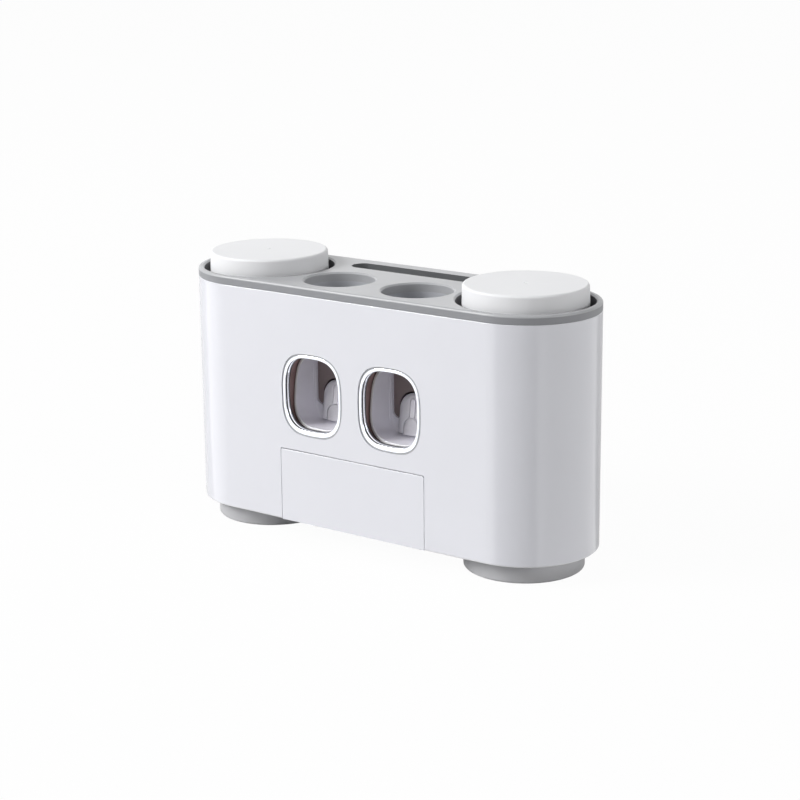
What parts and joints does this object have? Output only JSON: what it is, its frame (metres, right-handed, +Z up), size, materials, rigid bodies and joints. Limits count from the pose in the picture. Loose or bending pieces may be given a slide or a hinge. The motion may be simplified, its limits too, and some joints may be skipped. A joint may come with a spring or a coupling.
{
  "type": "toothbrush holder with toothpaste dispenser",
  "caption": "Wall or counter toothbrush holder with tumblers standing in end wells, push-lever toothpaste squeezers, a storage slot and a flip-up brush cover.",
  "frame": {"origin": "on the ground, midway between the two feet, which is the bottom centre of the part's box", "axes": "+X to the right along the body, +Y towards the wall, +Z up; the front faces -Y"},
  "size_m": [0.2844, 0.0908, 0.1742],
  "materials": {
    "gloss_white": "glossy moulded plastic",
    "matte_white": "fine matte moulded plastic",
    "tray_grey": "satin moulded plastic",
    "well_grey": "satin moulded plastic",
    "bright_frame": "polished plating",
    "liner_white": "semi-gloss moulded plastic",
    "pump_dark": "dark moulded plastic",
    "steel": "bright drawn steel",
    "silicone": "soft translucent silicone",
    "seal_rubber": "black rubber",
    "foam": "closed-cell adhesive foam"
  },
  "bodies": {
    "housing": {"outer_shell": "gloss_white", "rear_cover": "gloss_white", "top_tray": "tray_grey", "storage_pocket": "tray_grey", "cup_well_left": "well_grey", "cup_well_right": "well_grey", "tube_sleeve_left": "tray_grey", "tube_sleeve_right": "tray_grey", "inlet_adapter_left": "silicone", "inlet_adapter_right": "silicone", "window_frame_left": "bright_frame", "window_frame_right": "bright_frame", "squeezer_bowl_left": "liner_white", "squeezer_bowl_right": "liner_white", "lever_pin_left": "steel", "lever_pin_right": "steel", "pump_body_left": "pump_dark", "pump_body_right": "pump_dark", "return_spring_left": "steel", "return_spring_right": "steel", "dosing_nozzle_left": "silicone", "dosing_nozzle_right": "silicone", "pump_screws": "steel", "cover_screws": "steel", "brush_rack": "liner_white", "rack_screws": "steel", "wall_hook_left": "tray_grey", "wall_hook_right": "tray_grey", "adhesive_pad_left": "foam", "adhesive_pad_right": "foam"},
    "cup_left": {"cup_left": "matte_white"},
    "cup_right": {"cup_right": "matte_white"},
    "flip_cover": {"flip_cover": "gloss_white"},
    "push_lever_left": {"push_lever_left": "liner_white"},
    "push_lever_right": {"push_lever_right": "liner_white"},
    "pump_piston_left": {"pump_piston_left": "liner_white", "piston_seal_left": "seal_rubber"},
    "pump_piston_right": {"pump_piston_right": "liner_white", "piston_seal_right": "seal_rubber"}
  },
  "joints": [
    {"name": "cup_left_lift", "type": "slide", "parent": "housing", "child": "cup_left", "axis": [0, 0, 1], "range_m": [0, 0.11]},
    {"name": "cup_right_lift", "type": "slide", "parent": "housing", "child": "cup_right", "axis": [0, 0, 1], "range_m": [0, 0.11]},
    {"name": "flip_cover_hinge", "type": "hinge", "parent": "housing", "child": "flip_cover", "pos_m": [0, -0.0414, 0.0556], "axis": [-1, 0, 0], "range_deg": [0, 90]},
    {"name": "push_lever_left_hinge", "type": "hinge", "parent": "housing", "child": "push_lever_left", "pos_m": [-0.0293, -0.0145, 0.07865], "axis": [-1, 0, 0], "range_deg": [0, 14]},
    {"name": "pump_piston_left_slide", "type": "slide", "parent": "housing", "child": "pump_piston_left", "axis": [0, 1, 0], "range_m": [0, 0.00459], "stiffness_N_per_m": 700, "springref_m": -0.003, "deforming": ["return_spring_left"]},
    {"name": "push_lever_right_hinge", "type": "hinge", "parent": "housing", "child": "push_lever_right", "pos_m": [0.0293, -0.0145, 0.07865], "axis": [-1, 0, 0], "range_deg": [0, 14]},
    {"name": "pump_piston_right_slide", "type": "slide", "parent": "housing", "child": "pump_piston_right", "axis": [0, 1, 0], "range_m": [0, 0.00459], "stiffness_N_per_m": 700, "springref_m": -0.003, "deforming": ["return_spring_right"]}
  ],
  "couplings": [
    {"joint": "push_lever_left_hinge", "follows": "pump_piston_left_slide", "rad_per_m": 53.19},
    {"joint": "push_lever_right_hinge", "follows": "pump_piston_right_slide", "rad_per_m": 53.19}
  ]
}
